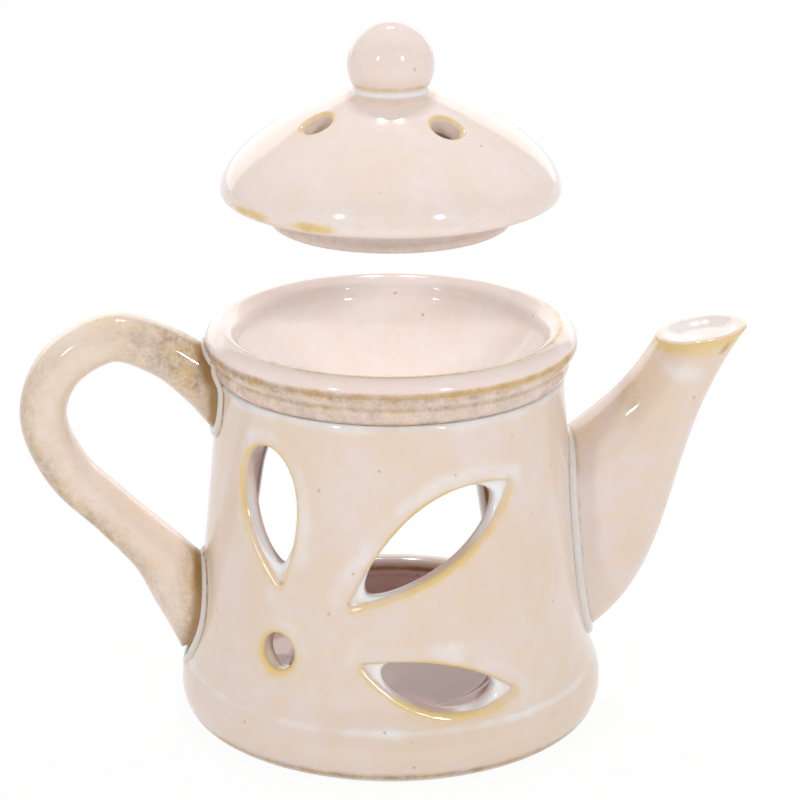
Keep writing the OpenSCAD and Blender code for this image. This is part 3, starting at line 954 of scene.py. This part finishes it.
def lid():
    """The dome with its vents, its edge and the flange under it."""
    skin = Skin()
    edge_run = float(np.interp(-LID_Z - CAP_H, -DOME[:, 1], DOME_RUN))
    border = edge_run * np.column_stack((np.sin(skin.turns), -np.cos(skin.turns)))
    fill = [np.zeros((1, 2))]
    step = 1.3
    for ring_r in np.arange(step, edge_run - 0.6, step):
        count = max(6, round(2 * math.pi * ring_r / step))
        spin = np.arange(count) * 2 * math.pi / count + ring_r
        fill.append(ring_r * np.column_stack((np.sin(spin), -np.cos(spin))))
    vent_run = float(np.interp(VENT_RING_R, DOME[:, 0], DOME_RUN))
    openings = []
    for number in range(VENTS):
        turn = math.radians(VENT_TURN + 360 * number / VENTS)
        middle = vent_run * np.array([math.sin(turn), -math.cos(turn)])
        edge = rim(circle(VENT_R - TIP_R), lambda run, middle=middle: middle + run, False)
        openings.append(Opening(edge, edge, rim_r=VENT_RIM_R))

    def place(flat, depth):
        r, z = on_dome(np.linalg.norm(flat, axis=1), depth).T
        return round_axis(r, z, np.arctan2(flat[:, 0], -flat[:, 1]))

    def paint(flat, depth, near, pull, lift):
        run = np.linalg.norm(flat, axis=1)
        depth = np.full(len(flat), depth)
        on_face = 1.0 - fade(depth, 0.8, 1.3)
        return {
            "ochre": np.maximum(0.8 * hump(near, 0.5, 1.1), 0.45 * hump(run, 9.6, 2.2)) * on_face,
            "milk": np.maximum.reduce([
                0.35 * hump(near, 2.2, 2.4) * on_face,
                0.3 * fade(run, edge_run - 5, edge_run) * on_face,
                0.4 * fade(depth, 0.9, 1.4) * (1 - fade(depth, LID_T - 1.4, LID_T - 0.6))]),
            "shade": fade(depth, LID_T - 1.2, LID_T - 0.2),
        }

    outer, inner = pierced(skin, openings, border, np.vstack(fill), place, LID_T, paint)
    within = on_dome([edge_run], LID_T)
    root_z = LID_Z - FLANGE_DROP
    low_z = root_z - FLANGE_H
    inside_r = FLANGE_R - LID_T
    section = soften(np.vstack((
        DOME[DOME_RUN > edge_run],
        arc((LID_R - LID_EDGE_R, LID_Z), LID_EDGE_R, 0, -90, 16),
        [(FLANGE_R, root_z), (FLANGE_R, low_z), (inside_r, low_z), (inside_r, root_z + LID_T)],
        within,
    )), GLAZE_SOFT)[:-1]
    r, z = section.T
    turn = np.degrees((skin.turns + math.pi) % (2 * math.pi) - math.pi)[None]
    worn = 1.2 * np.maximum(hump(turn, -32, 16), 0.8 * hump(turn, -60, 20)) + 0.1
    edge = hump(np.hypot(r - LID_R, z - LID_Z - 0.2), 0, 2.0)[:, None]
    side = ((z > LID_Z - 0.3) & (r > FLANGE_R + 4))[:, None]
    under = ((z < LID_Z - LID_EDGE_R * 0.9) & (r > FLANGE_R - 0.3))[:, None]
    hollow = (np.arange(len(r)) > np.argmax(r < FLANGE_R - 1)) * 1.0
    flange = (1 - hollow) * fade(z, root_z + 0.8, root_z - 0.2)
    rows = skin.lathe(section, {
        "ochre": edge * worn * 0.9,
        "rust": 0.35 * edge * worn,
        "ash": 0.3 * flange,
        "milk": 0.3 * side * (1 - 0.5 * edge),
        "shade": np.maximum(hollow[:, None], 0.35 * under),
    })
    skin.bridge(outer, rows[0])
    skin.bridge(rows[-1], inner)
    return skin


def lid_knob():
    """A ball on a short coved neck where white glaze has pooled."""
    seat_z = float(np.interp(KNOB_SEAT_R, DOME[:, 0], DOME[:, 1]))
    neck_z = KNOB_SEAT_Z + 0.7
    neck = math.degrees(math.asin((neck_z - KNOB_Z) / KNOB_R))
    neck_r = KNOB_R * math.cos(math.radians(neck))
    section = soften(np.vstack((
        [(0, KNOB_SEAT_Z - 2), (KNOB_SEAT_R - 0.8, seat_z - 0.9)],
        bow([(KNOB_SEAT_R, seat_z - 0.1), (neck_r - 0.1, seat_z + 0.2), (neck_r - 0.2, neck_z)], 12),
        arc((0, KNOB_Z), KNOB_R, neck, 90, 48)[1:],
    )), KNOB_SOFT)
    z = section[:, 1]
    skin = Skin()
    skin.lathe(section, {
        "milk": 1 - fade(z, neck_z - 0.5, neck_z),
        "ochre": 0.7 * hump(z, neck_z + 0.7, 1.0),
    })
    return skin


# Handle and spout, luted to the body

def body_line():
    """The body's outer face as radii over heights: foot, wall, and band and lip near their crease."""
    wall_z = np.linspace(FOOT_H, JOINT_Z, 80)[1:]
    wall = np.column_stack((wall_line(wall_z) + wall_extra(wall_z), wall_z))
    band = arc((BAND_RING_R, BAND_Z), BAND_R, -45, 28)
    lip = arc((LIP_RING_R, LIP_Z), LIP_R, -62, 85)
    line = np.vstack((foot_side(), wall, band[band[:, 1] > JOINT_Z], lip))
    return line[:, 1], line[:, 0]


BODY_Z, BODY_R = body_line()


def proud(points):
    """How far points stand out of the body's face."""
    return np.hypot(points[:, 0], points[:, 1]) - np.interp(points[:, 2], BODY_Z, BODY_R)


def sink(points, depth):
    """Points that lie deeper than this in the body are moved out to that depth."""
    radius = np.hypot(points[:, 0], points[:, 1])
    limit = np.interp(points[:, 2], BODY_Z, BODY_R) - depth
    scale = np.where(radius < limit, limit / radius, 1)
    return points * np.column_stack((scale, scale, np.ones(len(scale))))


def squarish(value, power):
    """Bends a sine or cosine towards a rounded square. A power of 2 leaves an oval."""
    return np.sign(value) * np.abs(value) ** (2 / power)


def seam(rows):
    """Where the lengthwise lines of rings come out of the body, from rings that start inside it."""
    rows = np.array(rows)
    out = np.array([proud(row) for row in rows])
    loop = []
    for i in range(rows.shape[1]):
        k = max(int(np.argmax(out[:, i] > 0)), 1)
        share = out[k - 1, i] / (out[k - 1, i] - out[k, i])
        loop.append(mix(rows[k - 1, i], rows[k, i], share))
    return np.array(loop)


HANDLE_OUT = 34.99
HANDLE_LOW_Z = FOOT_H + 12.0
HANDLE_HIGH_Z = JOINT_Z - 5.0
HANDLE_BAR = 9.6
HANDLE_W = 11.0
HANDLE_ROOTS = (18.0, 22.0)
HANDLE_FLARE = 3.0
# How square the bar is, from 2 for an oval, and how far the lower root narrows towards its tip
HANDLE_SQUARE = 2.4
LOW_ROOT_TAPER = 0.5
# Share of the way out, of the height between the roots, and of a root's height
HANDLE_COURSE = np.array([
    (-0.14, 0.98, 0.8), (0.12, 1.12, 0.22), (0.34, 1.23, 0.05), (0.64, 1.3, 0),
    (0.92, 1.17, 0), (1, 0.94, 0), (0.84, 0.68, 0),
    (0.56, 0.47, 0), (0.29, 0.27, 0.12), (0.10, 0.10, 0.44), (-0.10, -0.04, 1),
])
# How deep the handle and the spout reach into the body
SUNK = 1.6


def handle_rings(steps=16, sides=48):
    """Rings along the handle from its upper root to its lower one, and each ring's knot number."""
    last = len(HANDLE_COURSE) - 1
    around = np.arange(sides) * 2 * math.pi / sides

    def middle(t):
        out, height, _ = spline(HANDLE_COURSE, t)
        z = mix(HANDLE_LOW_Z, HANDLE_HIGH_Z, height)
        return np.array([-float(wall_line(z)) - HANDLE_OUT * out, z])

    rings, knots = [], np.linspace(0, last, last * steps + 1)
    near = 0.05
    for t in knots:
        along = middle(min(t + near, last)) - middle(max(t - near, 0))
        along /= np.linalg.norm(along)
        across = np.array([along[1], -along[0]])
        root = max(spline(HANDLE_COURSE, t)[2], 0)
        tall = mix(HANDLE_BAR, HANDLE_ROOTS[0 if t < last / 2 else 1], root)
        half_w = HANDLE_W / 2 + HANDLE_FLARE * root
        if t > last / 2:
            half_w = half_w * (1 - LOW_ROOT_TAPER * root * fade(np.cos(around), -0.2, 1))
        x, z = (middle(t) + squarish(np.cos(around), HANDLE_SQUARE)[:, None] * across * tall / 2).T
        rings.append(np.column_stack((x, half_w * squarish(np.sin(around), HANDLE_SQUARE), z)))
    return rings, knots


def handle():
    """The pulled handle, and the loops where its roots meet the body."""
    rings, knots = handle_rings()
    half = len(rings) // 2
    seams = [seam(rings[:half]), seam(rings[:half - 1:-1])]
    sides = len(rings[0])
    facing = np.cos(np.arange(sides) * 2 * math.pi / sides)
    skin = Skin()
    rows = []
    for ring, t in zip(rings, knots):
        gap = np.minimum(nearest(ring, seams[0])[0], nearest(ring, seams[1])[0])
        rows.append(skin.lay(sink(ring, SUNK), {
            "rust": 0.95 * (1 - fade(gap, 1.6, 4.4)),
            "ochre": np.maximum(0.5 * (1 - fade(gap, 2.0, 5.0)),
                                0.35 * hump(t, 2.6, 2) * fade(facing, 0, 0.9)),
            "ash": np.maximum.reduce([1.1 * hump(t, 1.4, 2.2) * fade(facing, -1.3, 0),
                                      0.9 * fade(facing, -0.3, 0.8) * hump(t, 6.5, 3.8),
                                      0.8 * (1 - fade(gap, 2, 8))]),
            "milk": 0.3 * fade(-facing, 0.6, 1),
        }))
    skin.bridge_all(rows)
    skin.cap(rows[0])
    skin.cap(rows[-1])
    return skin, seams


SPOUT_LOW_Z = FOOT_H + 3.4
SPOUT_HIGH_Z = JOINT_Z - 15.6
MOUTH = np.array([WALL_HIGH_R + 29.2, JOINT_Z + 6.0])
MOUTH_LEN = 18.8
MOUTH_W = 16.6
MOUTH_SLOPE = math.radians(9.0)
# The mouth's lip and its rise, and the dip inside it, with its flat at a share of the way in and its milk
MOUTH_LIP_R = 1.2
MOUTH_RISE = 0.48
MOUTH_DIP = 1.1
DIP_SHARE = 0.7
MOUTH_MILK = 0.55
SPOUT_W = 17.0
SPOUT_ROOT_W = 23.0
SPOUT_IN_BODY = 2.0
# How square the spout is, from 2 for an oval, and how much more so over its root
SPOUT_SQUARE = 2.2
ROOT_SQUARE = 1.4


def spout_edge(start_z, end, first, second):
    """One edge of the spout in its middle plane, with inner control points at shares of the way."""
    start = np.array([float(wall_line(start_z)) - SPOUT_IN_BODY, start_z - SPOUT_IN_BODY])
    way = end - start
    return [start, start + way * first, start + way * second, end]


HALF_MOUTH = MOUTH_LEN / 2 * np.array([math.cos(MOUTH_SLOPE), math.sin(MOUTH_SLOPE)])
SPOUT_UNDER = spout_edge(SPOUT_LOW_Z, MOUTH + HALF_MOUTH, np.array((0.69, 0.2)), np.array((0.45, 0.6)))
SPOUT_OVER = spout_edge(SPOUT_HIGH_Z, MOUTH - HALF_MOUTH, np.array((0.46, 0.37)), np.array((0.76, 0.57)))
SPOUT_STEPS = 90
LIP_STEPS = 7
DIP_STEPS = 12
SPOUT_SIDES = 64
SPOUT_ROUND = np.arange(SPOUT_SIDES) * 2 * math.pi / SPOUT_SIDES


def spout_ring(t, inset=0.0):
    """A ring of the spout at a share of its length, set in from its outer face."""
    low, high = bezier(SPOUT_UNDER, t), bezier(SPOUT_OVER, t)
    middle, half = (low + high) / 2, (high - low) / 2
    half = half * (1 - inset / np.linalg.norm(half))
    half_w = mix(SPOUT_W, MOUTH_W, t ** 3) / 2 + (SPOUT_ROOT_W - SPOUT_W) / 2 * (1 - t) ** 3 - inset
    power = SPOUT_SQUARE + ROOT_SQUARE * (1 - t) ** 1.5 * fade(np.cos(SPOUT_ROUND), -0.2, 0.6)
    spot = middle + squarish(np.cos(SPOUT_ROUND), power)[:, None] * half
    return np.column_stack((spot[:, 0], half_w * squarish(np.sin(SPOUT_ROUND), power), spot[:, 1]))


def spout():
    """The blind spout with its dished mouth, and the loop where its root meets the body."""
    shares = np.linspace(0, 1, SPOUT_STEPS + 1)
    outer = [spout_ring(t) for t in shares]
    joint = seam(outer)
    frontward = -np.sin(SPOUT_ROUND)
    outward_side = -np.cos(SPOUT_ROUND)
    smudge = hump(outward_side, 0.5, 0.24) * (frontward > 0)
    up = np.array([-math.sin(MOUTH_SLOPE), 0, math.cos(MOUTH_SLOPE)])
    skin = Skin()
    rows = []
    for t, ring in zip(shares, outer):
        gap = nearest(ring, joint)[0]
        rows.append(skin.lay(sink(ring, SUNK), {
            "rust": np.maximum(0.5 * (1 - fade(gap, 1.0, 3.4)), 0.7 * hump(t, 0.965, 0.045) * smudge),
            "ochre": np.maximum(0.4 * (1 - fade(gap, 1.2, 4.0)), 0.85 * fade(t, 0.9, 0.99)),
            "milk": 0.64 * hump(t, 0.88, 0.1) * hump(outward_side, -0.1, 1.4) * (frontward > 0),
            # Greyer on the upper side halfway along: partly grey specks of the glaze, partly painted
            # shade where the body shades the spout
            "ash": 0.4 * hump(t, 0.62, 0.2) * fade(-outward_side, 0.3, 0.9),
        }))
    for angle in np.linspace(0, math.pi / 2, LIP_STEPS + 1)[1:]:
        ring = spout_ring(1, MOUTH_LIP_R * (1 - math.cos(angle))) + up * MOUTH_RISE * math.sin(angle)
        marks = {"ochre": 0.8 * (1 - fade(angle, 0.3, 1.2)), "milk": 0.5 * fade(angle, 0.8, 1.5)}
        rows.append(skin.lay(ring, marks))
    for share in np.linspace(0, 1, DIP_STEPS + 1)[1:]:
        ring = spout_ring(1, mix(MOUTH_LIP_R, MOUTH_W / 2 * DIP_SHARE, share))
        ring += up * (MOUTH_RISE - MOUTH_DIP * (1 - math.cos(math.pi * share)) / 2)
        rows.append(skin.lay(ring, {"milk": MOUTH_MILK}))
    skin.bridge_all(rows)
    skin.cap(rows[0])
    skin.cap(rows[-1], {"milk": MOUTH_MILK})
    return skin, joint


# Seams of slip, drawn along the joints

def bead_nodes():
    """A tree that rolls a coil of slip along a line."""
    tree = bpy.data.node_groups.new("slip coil", "GeometryNodeTree")
    tree.interface.new_socket("Geometry", in_out="INPUT", socket_type="NodeSocketGeometry")
    radius = tree.interface.new_socket("Coil radius", in_out="INPUT", socket_type="NodeSocketFloat")
    look = tree.interface.new_socket("Look", in_out="INPUT", socket_type="NodeSocketMaterial")
    tree.interface.new_socket("Geometry", in_out="OUTPUT", socket_type="NodeSocketGeometry")
    given = tree.nodes.new("NodeGroupInput")
    line = tree.nodes.new("GeometryNodeMeshToCurve")
    profile = tree.nodes.new("GeometryNodeCurvePrimitiveCircle")
    profile.inputs["Resolution"].default_value = 16
    tube = tree.nodes.new("GeometryNodeCurveToMesh")
    smooth = tree.nodes.new("GeometryNodeSetShadeSmooth")
    real = tree.nodes.new("GeometryNodeRealizeInstances")
    dressed = tree.nodes.new("GeometryNodeSetMaterial")
    result = tree.nodes.new("NodeGroupOutput")
    for source, target in (
        (given.outputs["Geometry"], line.inputs["Mesh"]),
        (given.outputs["Coil radius"], profile.inputs["Radius"]),
        (given.outputs["Look"], dressed.inputs["Material"]),
        (line.outputs["Curve"], tube.inputs["Curve"]),
        (profile.outputs["Curve"], tube.inputs["Profile Curve"]),
        (tube.outputs["Mesh"], smooth.inputs["Geometry"]),
        (smooth.outputs["Geometry"], real.inputs["Geometry"]),
        (real.outputs["Geometry"], dressed.inputs["Geometry"]),
        (dressed.outputs["Geometry"], result.inputs["Geometry"]),
    ):
        tree.links.new(source, target)
    return tree, radius.identifier, look.identifier


coil_tree, coil_radius, coil_look = bead_nodes()


def slip_coil(name, loop, radius, material):
    """A closed coil of slip along a loop of points."""
    count = len(loop)
    path = bpy.data.meshes.new(name + "_path")
    path.from_pydata((loop * MM).tolist(), [(i, (i + 1) % count) for i in range(count)], [])
    source = put(name + "_path", path)
    roll = source.modifiers.new("coil", "NODES")
    roll.node_group = coil_tree
    roll[coil_radius] = radius * MM
    roll[coil_look] = material
    graph = bpy.context.evaluated_depsgraph_get()
    mesh = bpy.data.meshes.new_from_object(source.evaluated_get(graph))
    bpy.data.objects.remove(source)
    outward(mesh)
    return put(name, mesh)


# How thick the slip is at the seams, how deep it was pressed in, and how much deeper and thicker the dark
# coil under it lies, which paints the shadow along both sides of a seam
SEAM_R = 1.5
SEAM_SINK = 0.55
SPOUT_SEAM_SINK = 0.15
SHADOW_COIL_SINK = 0.45
SHADOW_COIL_MORE = 0.3


def pressed(loop, depth):
    """A loop on the body's face, moved towards the axis."""
    inner = loop.copy()
    inner[:, :2] *= (1 - depth / np.hypot(loop[:, 0], loop[:, 1]))[:, None]
    return inner


def even_loop(loop, step=1.0):
    """A closed loop with its points an even step apart."""
    return spread(np.vstack((loop, loop[:1])), step)[:-1]


def dress():
    """Makes every piece, sets it on the body it rides on, and hides the part of the model that it stands
    in for.
    """
    handle_skin, handle_seams = handle()
    spout_skin, spout_seam = spout()
    pieces = (
        ("turned_foot", base(), cream_glaze, "base", "burner", "cream_glaze"),
        ("pierced_wall", chamber_wall(), cream_glaze, "chamber_wall", "burner", "cream_glaze"),
        ("bowl_and_collar", oil_bowl(), pale_glaze, "oil_bowl", "burner", "pale_glaze"),
        ("pulled_handle", handle_skin, straw_glaze, "handle", "burner", "straw_glaze"),
        ("blind_spout", spout_skin, cream_glaze, "spout", "burner", "cream_glaze"),
        ("domed_lid", lid(), lid_glaze, "lid", "lid", "cream_glaze"),
        ("ball_knob", lid_knob(), lid_glaze, "lid_knob", "lid", "pale_glaze"),
    )
    for name, skin, material, node, body, slot in pieces:
        piece = skin.piece(name, material)
        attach(piece, body)
        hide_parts(node)
    for name, loop, depth in (
        ("upper_handle_seam", even_loop(handle_seams[0]), SEAM_SINK),
        ("lower_handle_seam", even_loop(handle_seams[1]), SEAM_SINK),
        ("spout_seam", even_loop(spout_seam), SPOUT_SEAM_SINK),
    ):
        # A dark coil under each slip coil shows at both sides of the seam as painted shadow
        edge = pressed(loop, SEAM_SINK + SHADOW_COIL_SINK)
        for coil in (slip_coil(name, pressed(loop, depth), SEAM_R, slip_glaze),
                     slip_coil(name + "_edge", edge, SEAM_R + SHADOW_COIL_MORE, seam_shadow_glaze)):
            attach(coil, "burner")


dress()


# Studio

def studio_floor():
    """A white floor that shows mostly its own white and keeps a soft shadow."""
    half = 3.0
    mesh = bpy.data.meshes.new("floor")
    corners = [(-half, -half, 0), (half, -half, 0), (half, half, 0), (-half, half, 0)]
    mesh.from_pydata(corners, [], [(0, 1, 2, 3)])
    floor = put("floor", mesh)
    material, shader, place = new_material("white floor")
    shader.inputs["Base Color"].default_value = (0.9, 0.9, 0.9, 1)
    shader.inputs["Roughness"].default_value = 0.9
    tree = place.tree
    seen = place.add("ShaderNodeLightPath", output="Is Camera Ray")
    mirrored = seen.other("Is Glossy Ray")
    shown = 0.25 + (seen + mirrored) * 0.7
    glow = place.add("ShaderNodeEmission", None, {"Color": (1, 1, 1, 1), "Strength": 1.0})
    lit = Wire(tree, shader.outputs["BSDF"])
    both = place.add("ShaderNodeMixShader", None, {0: shown, 1: lit, 2: glow})
    both.into(tree.nodes["Material Output"].inputs["Surface"])
    mesh.materials.append(material)


def studio_world():
    """A white tent, brightest in a lit backdrop behind the burner and dim towards the camera."""
    world = bpy.data.worlds.new("white tent")
    bpy.context.scene.world = world
    world.use_nodes = True
    tree = world.node_tree
    back = tree.nodes["Background"]
    way = Wire(tree, tree.nodes.new("ShaderNodeTexCoord").outputs["Generated"])
    across = way.add("ShaderNodeSeparateXYZ", None, {0: way}, "X")
    depth = across.other("Y")
    height = across.other("Z")
    backdrop = depth.fade(0.74, 0.8) * height.fade(0.52, 0.46)
    sides = (across * across).fade(0.2, 0.85)
    far = depth.fade(-0.7, 0.1)
    roof = height.fade(0.3, 0.9)
    tent = 0.34 + 0.2 * far + 0.1 * roof + 0.35 * sides + 1.1 * backdrop
    seen = way.add("ShaderNodeLightPath", None, None, "Is Camera Ray")
    strength = tent + seen * (1 - tent)
    strength.into(back.inputs["Strength"])
    back.inputs["Color"].default_value = (1, 1, 1, 1)


# Camera: its place, its turn and tilt in degrees, its lens, and the picture's shift to the side
CAMERA_PLACE = Vector((-54.4, -517.2, 250.4)) * MM
CAMERA_TURN = -6.0
CAMERA_TILT = 19.4
CAMERA_LENS = 120.7
CAMERA_SHIFT = 0.01175

# Lamps: how far they stand from the middle of the burner, and each one's turn from the camera, angle
# above the table, width, height and power
LAMP_AIM = Vector((0, 0, 0.07))
LAMP_DISTANCE = 1.1
LAMPS = (
    ("left lamp", -36, 27, 0.06, 0.13, 2.35),
    ("right lamp", 34, 27, 0.07, 0.13, 3.2),
    ("left back lamp", -174, 61, 0.015, 0.015, 2.1),
    ("right back lamp", 174, 61, 0.015, 0.015, 2.1),
)


def lamp(name, turn, height, width, tall, watts):
    """A soft box that faces the burner."""
    data = bpy.data.lights.new(name, "AREA")
    data.shape = "RECTANGLE"
    data.size = width
    data.size_y = tall
    data.energy = watts
    box = bpy.data.objects.new(name, data)
    bpy.context.collection.objects.link(box)
    angle, rise = math.radians(CAMERA_TURN + turn), math.radians(height)
    way = Vector((math.sin(angle) * math.cos(rise), -math.cos(angle) * math.cos(rise), math.sin(rise)))
    box.location = LAMP_AIM + way * LAMP_DISTANCE
    box.rotation_euler = way.to_track_quat("Z", "Y").to_euler()


def studio_camera():
    """The camera, in front of the burner and above it."""
    data = bpy.data.cameras.new("camera")
    data.lens = CAMERA_LENS
    data.shift_x = CAMERA_SHIFT
    camera = bpy.data.objects.new("camera", data)
    bpy.context.collection.objects.link(camera)
    camera.location = CAMERA_PLACE
    camera.rotation_euler = (math.radians(90 - CAMERA_TILT), 0, math.radians(CAMERA_TURN))
    bpy.context.scene.camera = camera


studio_floor()
studio_world()
studio_camera()
for settings in LAMPS:
    lamp(*settings)

bpy.context.scene.view_settings.view_transform = "Standard"
